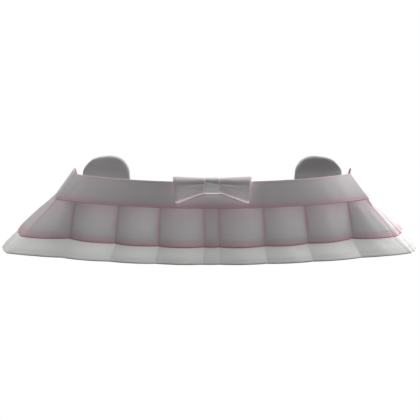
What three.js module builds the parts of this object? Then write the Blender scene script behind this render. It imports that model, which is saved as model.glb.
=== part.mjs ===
// A short ruffled skirt that keeps the round form it has when it is worn.
// Millimetres, +Z up. The front faces -Y, and +X is the right of someone who looks at the front.
// The origin is the middle of the waist opening, level with the rim at the front.
//
// Every ring of the skirt is described by folds, counted from the centre of the front or back:
// 0 is the centre, 1 the first crease, 5 the corner and 12 the side seam. Negative folds are on -X.

import * as THREE from "three";

// Cloth and seams.
const WALL = 1.8;
const SEAM_GAP = 0.3;
const BAND_TUCK = 8; // the upper ruffle runs this far up behind the waistband
const RUFFLE_TUCK = 12; // the lower ruffle runs this far up behind the upper one

// Pleats: how far from the centre their creases are at the lower edge of the waistband.
const CREASES = [0, 7.4, 50.9, 92.8, 139.2];
const SIDE_PLEATS = 7; // from a corner to the side seam
const LAST_FRONT_FOLD = CREASES.length - 1;
const CORNER_FOLD = LAST_FRONT_FOLD + 1;
const SEAM_FOLD = CORNER_FOLD + SIDE_PLEATS;

// Each kind of pleat: how far its belly stands out at a hem, and the steps that round it.
const PLEATS = {
  centre: { belly: 1.2, steps: 1 },
  front: { belly: 4.5, steps: 5 },
  corner: { belly: 4.5, steps: 5 },
  side: { belly: 2.2, steps: 2 },
};

// The rings of the skirt, from the top down. reach is the distance from the middle to the centre of
// the front, curve the radius of the front's arc, and spread how far its creases fan out. The corner
// ends the arc, and from there the side runs back to side, its greatest half width. swell pushes
// the flank out between them, crowding draws the side pleats together towards the corner, and
// rounding is the power with which the corner turns into the side. The two halves aren't quite
// alike: uneven and sideUneven say how far the corners and the sides of both halves lie to the left.
const RINGS = {
  rim: {
    z: 0, reach: 98, curve: 225, spread: 0.92,
    cornerX: 145, cornerY: 43.5, side: 151.9, swell: 0, crowding: 1, rounding: 1.3,
    uneven: -0.9, sideUneven: -1.8,
  },
  bandEdge: {
    z: -23.7, reach: 113.2, curve: 283, spread: 1,
    cornerX: 162.4, cornerY: 62.2, side: 168.6, swell: 0, crowding: 1, rounding: 1.3,
    uneven: -1, sideUneven: -1,
  },
  upperHem: {
    z: -55.5, reach: 142, curve: 286, spread: 1.01,
    cornerX: 184.9, cornerY: 97.7, side: 199.4, swell: 0, crowding: 1, rounding: 5,
    uneven: 2.6, sideUneven: 0.7,
  },
  lowerHem: {
    z: -67, reach: 161.9, curve: 405, spread: 1.035,
    cornerX: 197, cornerY: 118.8, side: 205, swell: 5.5, crowding: 1.5, rounding: 5,
    uneven: 2.4, sideUneven: 1.5,
  },
};
const SWELL_START = 0.45; // the share of the way to the corner at which the flank begins to swell

// The whole skirt sits lower at the back: it drops by a step just behind the side seams, and then
// it slopes evenly. Places are along the middle line, from the side seam on the rim to the back.
const BACK_STEP = { drop: 9, start: 2, end: 14 };
const BACK_SLOPE = 23;
const SLOPE_START = 8;
const SLOPE_SOFTNESS = 8;

// Bow on the front of the waistband. Heights are measured down the slope from the rim, and depths
// out from the waistband.
const BOW_LIFT = 0.4; // clear of the waistband
const KNOT = { half: 7.2, top: -3.3, bottom: 17.8, depth: 8.2 };
const LOOP = {
  start: KNOT.half + SEAM_GAP,
  endTop: 38.7,
  endBottom: 35,
  knotTop: -3.1,
  knotBottom: 16.2,
  farTop: -3.9,
  farBottom: 28.3,
  knotDepth: 6.2,
  farDepth: 8.3,
};

// The bow's section, from its upper edge over the front and the lower lip to the back: shares of
// its height and of its depth. The lip overhangs, and the back lies on the waistband.
const BOW_PROFILE = [
  { across: 0, lift: 0.32 },
  { across: 0.06, lift: 0.52 },
  { across: 0.14, lift: 0.69 },
  { across: 0.24, lift: 0.77 },
  { across: 0.36, lift: 0.77 },
  { across: 0.5, lift: 0.78 },
  { across: 0.65, lift: 0.81 },
  { across: 0.82, lift: 0.86 },
  { across: 0.95, lift: 1 },
  { across: 0.99, lift: 0.98 },
  { across: 0.95, lift: 0.76 },
  { across: 0.88, lift: 0.44 },
  { across: 0.81, lift: 0.12 },
  { across: 0.77, lift: 0 },
  { across: 0.45, lift: 0 },
  { across: 0.13, lift: 0 },
  { across: 0.06, lift: 0.06 },
  { across: 0.01, lift: 0.18 },
];

// Padded lobes at the back: the lower half lies on the waistband and the upper half stands up.
const LOBE = {
  x: 124, z: -21.8, toTheRight: 1.4, halfWidth: 25.8, halfHeight: 26.6, squareness: 2.4,
  depth: 11, lift: 0.6, sides: 28,
};
const LOBE_UPRIGHT_LEAN = 0.14; // how far it leans for each millimetre of height
const LOBE_BEND = 14; // height over which it turns upright
const LOBE_BEND_STEPS = 12;

const CLOTH = { color: 0xe6dfe0, roughness: 0.85, metalness: 0 };
const RUFFLE_CLOTH = { color: 0xdccdd2, roughness: 0.85, metalness: 0 };
const PLAIN_CLOTH = { color: 0xe8e8e6, roughness: 0.9, metalness: 0 };
const BOW_CLOTH = { color: 0xe2cfd5, roughness: 0.7, metalness: 0 };

const mix = THREE.MathUtils.lerp;
const sag = (x, radius) => radius - Math.sqrt(radius * radius - x * x);

// The kind of pleat that a fold lies in, and how far across it lies, from 0 to 1.
function pleatAt(fold) {
  const far = Math.abs(fold);
  if (far < 1) return { kind: PLEATS.centre, across: (fold + 1) / 2 };
  const across = far - Math.floor(far);
  if (far < LAST_FRONT_FOLD) return { kind: PLEATS.front, across };
  if (far < CORNER_FOLD) return { kind: PLEATS.corner, across };
  return { kind: PLEATS.side, across };
}

// Half width of a fold on the front arc, before its ring's spread.
function foldWidth(far) {
  const before = Math.min(Math.floor(far), LAST_FRONT_FOLD - 1);
  return mix(CREASES[before], CREASES[before + 1], far - before);
}

// The plan of a ring at a fold, as a distance sideways and a distance from the middle line.
function planAt(ring, fold) {
  const far = Math.abs(fold);
  const turn = Math.sign(fold) || 1;
  const arc = (x) => new THREE.Vector2(x, ring.reach - sag(x, ring.curve));
  const cornerX = ring.cornerX - turn * ring.uneven;
  const side = ring.side - turn * ring.sideUneven;
  let point;
  if (far <= LAST_FRONT_FOLD) {
    point = arc(foldWidth(far) * ring.spread);
  } else if (far <= CORNER_FOLD) {
    point = arc(foldWidth(LAST_FRONT_FOLD) * ring.spread);
    point.lerp(new THREE.Vector2(cornerX, ring.cornerY), far - LAST_FRONT_FOLD);
  } else {
    const along = Math.min(1, (far - CORNER_FOLD) / SIDE_PLEATS);
    const toCorner = 1 - along ** ring.crowding;
    const rounded = (side - cornerX) * toCorner ** ring.rounding;
    const swelling = Math.max(0, (toCorner - SWELL_START) / (1 - SWELL_START));
    const flank = ring.swell * Math.sin(Math.PI * swelling);
    point = new THREE.Vector2(side - rounded + flank, ring.cornerY * toCorner);
  }
  point.x *= turn;
  point.y = Math.max(point.y, SEAM_GAP / 2);
  return point;
}

// How far the skirt sits down at a place on the rim.
function dipAt(rimY) {
  const soft = (y) => SLOPE_SOFTNESS * Math.log1p(Math.exp((y - SLOPE_START) / SLOPE_SOFTNESS));
  const slope = (BACK_SLOPE * soft(rimY)) / soft(RINGS.rim.reach);
  return slope + BACK_STEP.drop * THREE.MathUtils.smoothstep(rimY, BACK_STEP.start, BACK_STEP.end);
}

// A point between two rings. face is -1 for the front half and 1 for the back half, and fullness
// is the share of the pleats' belly that shows there.
function skirtPoint(upper, lower, share, fold, face, fullness) {
  const plan = (at) => planAt(upper, at).lerp(planAt(lower, at), share);
  const place = plan(fold);
  const { kind, across } = pleatAt(fold);
  const step = 0.01;
  const along = plan(fold + step).sub(plan(fold - step)).normalize();
  const belly = fullness * kind.belly * 4 * across * (1 - across);
  place.x += -along.y * belly;
  place.y += along.x * belly;
  const z = mix(upper.z, lower.z, share) - dipAt(face * planAt(RINGS.rim, fold).y);
  return new THREE.Vector3(place.x, face * place.y, z);
}

// The folds at which every ring has a point, from one side seam to the other.
function foldSteps() {
  const right = [];
  for (let fold = 0; fold < SEAM_FOLD; fold += 1) {
    const { steps } = pleatAt(fold + 0.5).kind;
    for (let i = 0; i < steps; i += 1) right.push(fold + i / steps);
  }
  right.push(SEAM_FOLD);
  const left = right.slice(1).reverse();
  return [...left.map((fold) => -fold), ...right];
}

const FOLDS = foldSteps();

const rowAt = (upper, lower, share, face, fullness = 0) =>
  FOLDS.map((fold) => skirtPoint(upper, lower, share, fold, face, fullness));

// The vector whose length along each of the given unit normals is 1, or as near as can be.
function mitre(normals) {
  const keep = 0.02;
  const mean = new THREE.Vector3();
  normals.forEach((n) => mean.add(n));
  const right = mean.clone();
  mean.normalize();
  right.addScaledVector(mean, keep);
  const total = (a, b) => normals.reduce((sum, n) => sum + n[a] * n[b], a === b ? keep : 0);
  const matrix = new THREE.Matrix3().set(
    total("x", "x"), total("x", "y"), total("x", "z"),
    total("y", "x"), total("y", "y"), total("y", "z"),
    total("z", "x"), total("z", "y"), total("z", "z"),
  );
  return right.applyMatrix3(matrix.invert());
}

// For each point of a grid, how it moves outwards when the cloth moves out by one millimetre.
function outwards(grid, face) {
  const faceNormal = (i, j) => {
    if (i < 0 || j < 0 || i + 1 >= grid.length || j + 1 >= FOLDS.length) return null;
    const down = grid[i + 1][j].clone().sub(grid[i][j + 1]);
    const across = grid[i + 1][j + 1].clone().sub(grid[i][j]);
    return down.cross(across).normalize().multiplyScalar(-face);
  };
  return grid.map((row, i) =>
    row.map((_, j) => {
      const faces = [faceNormal(i - 1, j - 1), faceNormal(i - 1, j), faceNormal(i, j - 1), faceNormal(i, j)];
      const vector = mitre(faces.filter((n) => n));
      if (j === 0 || j === FOLDS.length - 1) vector.y = 0; // a cut edge stays in the plane of its seam
      return vector;
    }),
  );
}

const movedOut = (row, vectors, distance) =>
  row.map((point, j) => point.clone().addScaledVector(vectors[j], distance));

// A closed geometry from points and triangles, turned round where its faces point inwards.
function closedGeometry(points, triangles) {
  const volume = triangles.reduce((sum, [a, b, c]) => {
    const normal = points[b].clone().cross(points[c]);
    return sum + points[a].dot(normal);
  }, 0);
  const order = volume < 0 ? triangles.map(([a, b, c]) => [a, c, b]) : triangles;
  const geometry = new THREE.BufferGeometry().setFromPoints(points);
  geometry.setIndex(order.flat());
  geometry.computeVertexNormals();
  return geometry;
}

// A wall of cloth between an outer grid and an inner one, closed along all its edges.
function wallGeometry(outer, inner) {
  const rows = outer.length;
  const columns = FOLDS.length;
  const points = [...outer.flat(), ...inner.flat()];
  const out = (i, j) => i * columns + j;
  const within = (i, j) => (rows + i) * columns + j;
  const triangles = [];
  const quad = (a, b, c, d) => triangles.push([a, b, c], [a, c, d]);
  for (let i = 0; i + 1 < rows; i += 1) {
    for (let j = 0; j + 1 < columns; j += 1) {
      quad(out(i, j), out(i, j + 1), out(i + 1, j + 1), out(i + 1, j));
      quad(within(i, j), within(i + 1, j), within(i + 1, j + 1), within(i, j + 1));
    }
    quad(out(i, 0), out(i + 1, 0), within(i + 1, 0), within(i, 0));
    quad(out(i, columns - 1), within(i, columns - 1), within(i + 1, columns - 1), out(i + 1, columns - 1));
  }
  for (let j = 0; j + 1 < columns; j += 1) {
    quad(out(0, j), within(0, j), within(0, j + 1), out(0, j + 1));
    quad(out(rows - 1, j), out(rows - 1, j + 1), within(rows - 1, j + 1), within(rows - 1, j));
  }
  return closedGeometry(points, triangles);
}

function clothWall(grid, face) {
  const vectors = outwards(grid, face);
  const inner = grid.map((row, i) => movedOut(row, vectors[i], -WALL));
  return wallGeometry(grid, inner);
}

// Slanted heights of the waistband and the upper ruffle at the centre of the front.
const slant = (upper, lower) => Math.hypot(upper.z - lower.z, upper.reach - lower.reach);
const BAND_SLANT = slant(RINGS.rim, RINGS.bandEdge);
const UPPER_SLANT = slant(RINGS.bandEdge, RINGS.upperHem);

function bandGrid(face) {
  const { rim, bandEdge } = RINGS;
  const shares = [0, 1 - BAND_TUCK / BAND_SLANT, 1];
  return shares.map((share) => rowAt(rim, bandEdge, share, face));
}

// The rows below the top row of a grid, moved in to lie behind it with a seam's gap.
function tuckedRows(grid, face, count) {
  const vectors = outwards(grid, face);
  const first = grid.length - count;
  return grid.slice(first).map((row, i) => movedOut(row, vectors[first + i], -(WALL + SEAM_GAP)));
}

// Rows of the upper ruffle below the waistband: their place down the slope, and their fullness.
const UPPER_ROWS = [
  { share: 0.3, fullness: 0.35 },
  { share: 1 - RUFFLE_TUCK / UPPER_SLANT, fullness: 0.8 },
  { share: 1, fullness: 1 },
];

function upperGrid(face) {
  const { bandEdge, upperHem } = RINGS;
  const below = UPPER_ROWS.map((row) => rowAt(bandEdge, upperHem, row.share, face, row.fullness));
  return [...tuckedRows(bandGrid(face), face, 2), ...below];
}

// Rows of the lower ruffle below the upper one's hem. Its pleats flatten towards its own hem.
const LOWER_ROWS = [
  { share: 0.5, fullness: 0.85 },
  { share: 1, fullness: 0.5 },
];

function lowerGrid(face) {
  const { upperHem, lowerHem } = RINGS;
  const below = LOWER_ROWS.map((row) => rowAt(upperHem, lowerHem, row.share, face, row.fullness));
  return [...tuckedRows(upperGrid(face), face, 2), ...below];
}

// A solid from closed rings of points, with a point at each end.
function ringSolid(start, rings, end) {
  const sides = rings[0].length;
  const points = [start, ...rings.flat(), end];
  const last = points.length - 1;
  const at = (i, j) => 1 + i * sides + (j % sides);
  const triangles = [];
  for (let j = 0; j < sides; j += 1) {
    triangles.push([0, at(0, j), at(0, j + 1)]);
    for (let i = 0; i + 1 < rings.length; i += 1) {
      triangles.push([at(i, j), at(i + 1, j), at(i + 1, j + 1)]);
      triangles.push([at(i, j), at(i + 1, j + 1), at(i, j + 1)]);
    }
    triangles.push([at(rings.length - 1, j + 1), at(rings.length - 1, j), last]);
  }
  return closedGeometry(points, triangles);
}

// A point on the arc of the waistband: a half width at its lower edge, and a share of its height.
function arcPoint(width, share, face) {
  const { rim, bandEdge } = RINGS;
  const at = (ring, x) => new THREE.Vector3(x, face * (ring.reach - sag(x, ring.curve)), ring.z);
  const top = at(rim, width * rim.spread);
  const drop = dipAt(top.y);
  const point = top.lerp(at(bandEdge, width), share);
  point.z -= drop;
  return point;
}

// A point above the front of the waistband: sideways, down the slope from the rim, and outwards.
function overBand(x, down, lift) {
  const place = (sideways, slope) => {
    const share = slope / BAND_SLANT;
    return arcPoint(sideways / mix(RINGS.rim.spread, 1, share), share, -1);
  };
  const across = place(x + 1, down).sub(place(x - 1, down));
  const downward = place(x, down + 1).sub(place(x, down - 1));
  return place(x, down).addScaledVector(downward.cross(across).normalize(), lift);
}

// A section of the bow: where it runs down the slope, and how thick it is.
function bowSection(top, bottom, depth, sideways) {
  return BOW_PROFILE.map(({ across, lift }) => {
    const down = mix(top, bottom, across);
    return overBand(sideways(down), down, BOW_LIFT + depth * lift);
  });
}

// Sections of a loop of the bow, which widens from the knot to its slanted end.
const LOOP_WIDEST = 0.9;
const LOOP_SECTIONS = [
  { along: 0, size: 1 },
  { along: 0.2, size: 1 },
  { along: 0.45, size: 1 },
  { along: 0.7, size: 1 },
  { along: LOOP_WIDEST, size: 1 },
  { along: 0.97, size: 0.97 },
  { along: 1, size: 0.86 },
];

function bowLoop(turn) {
  const rings = LOOP_SECTIONS.map(({ along, size }) => {
    const top = mix(LOOP.knotTop, LOOP.farTop, along);
    const bottom = mix(LOOP.knotBottom, LOOP.farBottom, Math.min(1, along / LOOP_WIDEST));
    const inset = ((bottom - top) * (1 - size)) / 2;
    const depth = mix(LOOP.knotDepth, LOOP.farDepth, Math.sqrt(along)) * size;
    const sideways = (down) => {
      const end = mix(LOOP.endTop, LOOP.endBottom, (down - LOOP.farTop) / (LOOP.farBottom - LOOP.farTop));
      return turn * mix(LOOP.start, end, along);
    };
    return bowSection(top + inset, bottom - inset, depth, sideways);
  });
  return ringSolid(middle(rings[0]), rings, middle(rings.at(-1)));
}

function middle(ring) {
  const sum = new THREE.Vector3();
  ring.forEach((point) => sum.add(point));
  return sum.divideScalar(ring.length);
}

// The band round the middle of the bow.
const KNOT_SECTIONS = [
  { along: -1, size: 0.9 },
  { along: -0.75, size: 1 },
  { along: 0, size: 1.03 },
  { along: 0.75, size: 1 },
  { along: 1, size: 0.9 },
];

function bowKnot() {
  const rings = KNOT_SECTIONS.map(({ along, size }) => {
    const inset = ((KNOT.bottom - KNOT.top) * (1 - size)) / 2;
    return bowSection(KNOT.top + inset, KNOT.bottom - inset, KNOT.depth * size, () => along * KNOT.half);
  });
  return ringSolid(middle(rings[0]), rings, middle(rings.at(-1)));
}

// A point of a back lobe: across and up from its centre, and outwards. Below the rim it lies on the
// waistband's slope. Above the rim it bends until it leans only a little towards the front.
function lobePoint(turn, across, up, lift) {
  const { rim } = RINGS;
  const x = LOBE.x + turn * LOBE.toTheRight + across;
  const rimY = rim.reach - sag(x, rim.curve);
  const edge = arcPoint(x, 1, 1);
  const overRim = LOBE.z + up + dipAt(rimY);
  const flare = (edge.y - rimY) / (-dipAt(rimY) - edge.z);
  let y = rimY;
  if (overRim < 0) {
    y -= flare * overRim;
  } else {
    for (let i = 0; i < LOBE_BEND_STEPS; i += 1) {
      const height = (overRim * (i + 0.5)) / LOBE_BEND_STEPS;
      const bent = THREE.MathUtils.smoothstep(height, 0, LOBE_BEND);
      y -= (mix(flare, LOBE_UPRIGHT_LEAN, bent) * overRim) / LOBE_BEND_STEPS;
    }
  }
  return new THREE.Vector3(turn * x, y + lift, LOBE.z + up);
}

// The lobe's profile, from the middle of its flat side round its edge to the middle of its crown.
const LOBE_PROFILE = [
  { out: 0.45, depth: 0 },
  { out: 0.8, depth: 0 },
  { out: 0.94, depth: 0.02 },
  { out: 0.985, depth: 0.12 },
  { out: 1, depth: 0.36 },
  { out: 0.98, depth: 0.64 },
  { out: 0.92, depth: 0.85 },
  { out: 0.75, depth: 0.96 },
  { out: 0.4, depth: 1 },
];

function backLobe(turn) {
  const rings = LOBE_PROFILE.map(({ out, depth }) =>
    Array.from({ length: LOBE.sides }, (_, k) => {
      const angle = (2 * Math.PI * k) / LOBE.sides;
      const [across, up] = [Math.cos(angle), Math.sin(angle)];
      const power = LOBE.squareness;
      const share = out / (Math.abs(across) ** power + Math.abs(up) ** power) ** (1 / power);
      const lift = LOBE.lift + LOBE.depth * depth;
      return lobePoint(turn, LOBE.halfWidth * share * across, LOBE.halfHeight * share * up, lift);
    }),
  );
  const flatMiddle = lobePoint(turn, 0, 0, LOBE.lift);
  const crown = lobePoint(turn, 0, 0, LOBE.lift + LOBE.depth);
  return ringSolid(flatMiddle, rings, crown);
}

const group = new THREE.Group();

function add(name, geometry, finish) {
  const mesh = new THREE.Mesh(geometry, new THREE.MeshStandardMaterial(finish));
  mesh.name = name;
  group.add(mesh);
}

const HALVES = { front: -1, back: 1 };
for (const [half, face] of Object.entries(HALVES)) {
  add(`waistband_${half}`, clothWall(bandGrid(face), face), CLOTH);
  add(`ruffle_upper_${half}`, clothWall(upperGrid(face), face), RUFFLE_CLOTH);
  add(`ruffle_lower_${half}`, clothWall(lowerGrid(face), face), PLAIN_CLOTH);
}

const SIDES = { left: -1, right: 1 };
for (const [side, turn] of Object.entries(SIDES)) {
  add(`bow_loop_${side}`, bowLoop(turn), BOW_CLOTH);
  add(`back_lobe_${side}`, backLobe(turn), PLAIN_CLOTH);
}
add("bow_knot", bowKnot(), BOW_CLOTH);

export default group;
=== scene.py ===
"""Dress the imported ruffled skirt: waistband, two pleated ruffles, bow, back lobes and studio."""
import logging
import math
from dataclasses import dataclass, replace
from enum import Enum
from typing import Callable, ClassVar, Optional, Sequence

import bpy
import numpy as np
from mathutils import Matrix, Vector


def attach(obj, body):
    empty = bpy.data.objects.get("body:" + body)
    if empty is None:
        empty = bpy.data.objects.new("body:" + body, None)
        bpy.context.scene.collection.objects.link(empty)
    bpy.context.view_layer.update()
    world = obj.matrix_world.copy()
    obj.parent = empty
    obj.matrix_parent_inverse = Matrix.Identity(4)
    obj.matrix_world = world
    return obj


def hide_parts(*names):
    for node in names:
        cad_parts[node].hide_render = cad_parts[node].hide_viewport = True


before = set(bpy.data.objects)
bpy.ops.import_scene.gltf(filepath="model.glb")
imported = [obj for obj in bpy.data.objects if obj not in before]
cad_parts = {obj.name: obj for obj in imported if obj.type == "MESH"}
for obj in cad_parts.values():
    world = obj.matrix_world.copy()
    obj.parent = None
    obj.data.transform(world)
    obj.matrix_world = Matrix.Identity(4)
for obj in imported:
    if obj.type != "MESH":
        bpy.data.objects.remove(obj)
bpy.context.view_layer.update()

log = logging.getLogger("skirt")

MM = 0.001
FRONT = -1
BACK = 1
LEFT = -1
RIGHT = 1
HALF_NAMES = {FRONT: "front", BACK: "back"}
SIDE_NAMES = {LEFT: "left", RIGHT: "right"}
Colour = tuple[float, float, float]
Place = tuple[float, float, float]

# Seams, and how far each ruffle is tucked up behind what hides its upper edge, in millimetres.
SEAM_GAP = 0.3
BAND_TUCK = 8.0
RUFFLE_TUCK = 12.0

# Folds are counted from the centre of the front or back: 1 is the first crease, 12 the side seam.
LAST_FRONT_FOLD = 4
CORNER_FOLD = 5
SEAM_FOLD = 12
JUST_INSIDE_SEAM = SEAM_FOLD - 1e-6
CREASE_WIDTHS = (0.0, 7.4, 50.9, 92.8, 139.2)
NOTCH_REACH = 1.3

# Which way is outwards on a wall: its share of the place sideways, and upwards in metres.
SIDEWAYS_SHARE = 0.4
UPWARDS_SHARE = 0.1

# Points closer than this are one, in metres.
SAME_POINT = 1e-6

# The skirt drops by a step just behind the side seams and then slopes evenly to the back.
BACK_STEP = 9.0
STEP_START = 2.0
STEP_END = 14.0
BACK_SLOPE = 23.0
SLOPE_START = 8.0
SLOPE_SOFTNESS = 8.0


def mix(
    a: float | np.ndarray, b: float | np.ndarray, share: float | np.ndarray,
) -> float | np.ndarray:
    """Return the value a share of the way from a to b."""
    return a + (b - a) * share


def smooth(value: float | np.ndarray, low: float, high: float) -> float | np.ndarray:
    """Return a soft step.

    Args:
        value: The number or numbers to step.
        low: Where the step starts.
        high: Where the step ends.

    Returns:
        0 up to low, 1 from high, and an S curve between them.
    """
    share = np.clip((value - low) / (high - low), 0.0, 1.0)
    return share * share * (3 - 2 * share)


def bump(value: float | np.ndarray, middle: float, width: float) -> float | np.ndarray:
    """Return a bell curve of height 1 about a middle."""
    return np.exp(-(((value - middle) / width) ** 2))


@dataclass(frozen=True)
class Rise:
    """A soft step from 0 to 1 between two values."""

    low: float
    high: float

    def at(self, value: float) -> float:
        """Return how far the step has risen at a value."""
        return float(smooth(value, self.low, self.high))


@dataclass(frozen=True)
class Peak:
    """A bell curve of height 1."""

    middle: float
    width: float

    def at(self, value: float) -> float:
        """Return the height of the curve at a value."""
        return float(bump(value, self.middle, self.width))


@dataclass(frozen=True)
class Pleat:
    """A kind of pleat, in millimetres."""

    belly: float
    width: float
    notch: float
    steps: int


class PleatKind(Enum):
    """The pleats of a ruffle, from the centre out to the side seam."""

    CENTRE = Pleat(belly=1.2, width=16.0, notch=0.25, steps=12)
    FRONT = Pleat(belly=4.5, width=45.0, notch=0.3, steps=18)
    CORNER = Pleat(belly=4.5, width=45.0, notch=0.3, steps=18)
    SIDE = Pleat(belly=2.2, width=15.0, notch=0.35, steps=10)

    @staticmethod
    def at(fold: float) -> "PleatKind":
        """Return the kind of pleat in which a fold lies."""
        far = abs(fold)
        if far < 1:
            return PleatKind.CENTRE
        if far < LAST_FRONT_FOLD:
            return PleatKind.FRONT
        return PleatKind.CORNER if far < CORNER_FOLD else PleatKind.SIDE

    @staticmethod
    def place(fold: float) -> tuple[Pleat, float, float]:
        """Return where a fold lies in its pleat.

        Args:
            fold: The fold.

        Returns:
            The pleat, the share of its width at the fold and the millimetres to the next crease.
        """
        far = abs(fold)
        kind = PleatKind.at(min(far, JUST_INSIDE_SEAM))
        across = (fold + 1) / 2 if kind is PleatKind.CENTRE else far - math.floor(far)
        return kind.value, across, min(across, 1 - across) * kind.value.width


def fold_columns() -> np.ndarray:
    """Return the folds that have a column of points, closer together towards each crease."""
    starts = [-1.0] + [float(fold) for fold in range(1, SEAM_FOLD)]
    right: list[float] = []
    for start in starts:
        width = 2.0 if start < 0 else 1.0
        steps = PleatKind.at(start + width / 2).value.steps
        for step in range(steps):
            fold = start + width * (1 - math.cos(math.pi * step / steps)) / 2
            right.append(fold)
    right.append(float(SEAM_FOLD))
    left = [-fold for fold in right if fold >= 1]
    return np.array(sorted(set(left) | set(right)))


FOLDS = fold_columns()


def belly_shape() -> np.ndarray:
    """Return how far each fold stands out at a hem, with the notch of its crease."""
    out = np.zeros_like(FOLDS)
    for i, fold in enumerate(FOLDS):
        pleat, across, near = PleatKind.place(fold)
        out[i] = pleat.belly * 4 * across * (1 - across)
        out[i] -= pleat.notch * bump(near, 0.0, NOTCH_REACH)
    return out


BELLIES = belly_shape()


def crease_nearness(reach: float) -> np.ndarray:
    """Return 1 on each crease, falling to 0 within about the reach, in millimetres."""
    return np.array([bump(PleatKind.place(fold)[2], 0.0, reach) for fold in FOLDS])


@dataclass(frozen=True)
class PleatShading:
    """The painted shade and light of a ruffle's pleats, in shares of the cloth's lightness.

    Each broad pleat is painted with shade from its left edge to about two thirds of its width, as
    seen from outside. A corner pleat is painted with shade at its inner edge, and its outer part is
    painted light. The pleats round the right side are painted lighter than the others.
    """

    depth: float
    centre: float = 0.9
    centre_fall: float = 0.3
    broad: Rise = Rise(-0.08, 0.75)
    broad_edge: Rise = Rise(0.8, 1.0)
    broad_edge_shade: float = 0.22
    corner: Rise = Rise(0.0, 0.6)
    corner_share: float = 0.75
    right: Rise = Rise(0.3, 0.85)
    right_light: float = 0.16
    right_share: float = 0.25

    def at(self, fold: float) -> float:
        """Return the painted light and shade at a fold, with the folds counted to the right as seen
        from outside.
        """
        far = abs(fold)
        inwards = far - math.floor(far)
        if far < 1:
            across = (fold + 1) / 2
            return 1 - self.depth * (self.centre - self.centre_fall * across)
        if far < LAST_FRONT_FOLD:
            across = inwards if fold > 0 else 1 - inwards
            edge = 1 - self.broad_edge_shade * self.broad_edge.at(across)
            return 1 - self.depth * (1 - self.broad.at(across) * edge)
        right = fold > 0
        if far < CORNER_FOLD:
            tone = 1 - self.depth * (1 - self.corner_share * self.corner.at(inwards))
            if right:
                tone += (self.right_light + self.right_share * self.depth) * self.right.at(inwards)
            return tone
        return 1 + self.right_light if right else 1.0

    def row(self, face: int) -> np.ndarray:
        """Return the painted light and shade at each fold of the front or the back."""
        return np.array([self.at(fold) for fold in FOLDS * -face])


@dataclass(frozen=True)
class Ring:
    """A ring of the skirt in millimetres, with the same values as in the part's source.

    The front is an arc, and the side is a rounded corner from there to the side seam. uneven and
    side_uneven are how far the two corners and the two side seams are shifted to the left.
    """

    z: float
    reach: float
    curve: float
    spread: float
    corner_x: float
    corner_y: float
    side: float
    swell: float = 0.0
    crowding: float = 1.0
    rounding: float = 5.0
    uneven: float = 0.0
    side_uneven: float = 0.0
    swell_start: ClassVar[float] = 0.45

    def arc(self, x: float | np.ndarray) -> float | np.ndarray:
        """Return the distance from the middle line of the front's arc."""
        return self.reach - (self.curve - np.sqrt(self.curve**2 - x * x))

    def plan(self, folds: np.ndarray) -> tuple[np.ndarray, np.ndarray]:
        """Return where folds lie in plan.

        Args:
            folds: The folds, negative on the left.

        Returns:
            Their distances sideways and their distances from the middle line.
        """
        far = np.abs(folds)
        front_x = np.interp(far, range(LAST_FRONT_FOLD + 1), CREASE_WIDTHS) * self.spread
        front_y = self.arc(front_x)
        last_x = CREASE_WIDTHS[-1] * self.spread
        over = np.clip(far - LAST_FRONT_FOLD, 0, 1)
        far_corner = self.corner_x - np.sign(folds) * self.uneven
        corner_x = mix(last_x, far_corner, over)
        corner_y = mix(self.arc(last_x), self.corner_y, over)
        along = np.clip((far - CORNER_FOLD) / (SEAM_FOLD - CORNER_FOLD), 0, 1)
        to_corner = 1 - along**self.crowding
        swelling = np.maximum(0, (to_corner - self.swell_start) / (1 - self.swell_start))
        flank = self.swell * np.sin(np.pi * swelling)
        side = self.side - np.sign(folds) * self.side_uneven
        side_x = side - (side - far_corner) * to_corner**self.rounding + flank
        side_y = self.corner_y * to_corner
        parts = [far <= LAST_FRONT_FOLD, far <= CORNER_FOLD]
        x = np.select(parts, [front_x, corner_x], side_x)
        y = np.select(parts, [front_y, corner_y], side_y)
        return np.copysign(x, folds), np.maximum(y, SEAM_GAP / 2)


RIM = Ring(
    z=0, reach=98, curve=225, spread=0.92,
    corner_x=145, corner_y=43.5, side=151.9, rounding=1.3, uneven=-0.9, side_uneven=-1.8)
BAND_EDGE = Ring(
    z=-23.7, reach=113.2, curve=283, spread=1,
    corner_x=162.4, corner_y=62.2, side=168.6, rounding=1.3, uneven=-1.0, side_uneven=-1.0)
UPPER_HEM = Ring(
    z=-55.5, reach=142, curve=286, spread=1.01,
    corner_x=184.9, corner_y=97.7, side=199.4, uneven=2.6, side_uneven=0.7)
LOWER_HEM = Ring(
    z=-67, reach=161.9, curve=405, spread=1.035,
    corner_x=197, corner_y=118.8, side=205, swell=5.5, crowding=1.5, uneven=2.4, side_uneven=1.5)
BAND_SLANT = math.hypot(BAND_EDGE.z - RIM.z, BAND_EDGE.reach - RIM.reach)
UPPER_SLANT = math.hypot(UPPER_HEM.z - BAND_EDGE.z, UPPER_HEM.reach - BAND_EDGE.reach)
LOWER_SLANT = math.hypot(LOWER_HEM.z - UPPER_HEM.z, LOWER_HEM.reach - UPPER_HEM.reach)


def dip_at(rim_y: float | np.ndarray) -> float | np.ndarray:
    """Return how far the skirt sits down at a place on the rim."""
    def soft(y: float | np.ndarray) -> float | np.ndarray:
        """Return a ramp that starts softly."""
        return SLOPE_SOFTNESS * np.log1p(np.exp((y - SLOPE_START) / SLOPE_SOFTNESS))
    step = BACK_STEP * smooth(rim_y, STEP_START, STEP_END)
    return step + BACK_SLOPE * soft(rim_y) / soft(RIM.reach)


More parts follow.
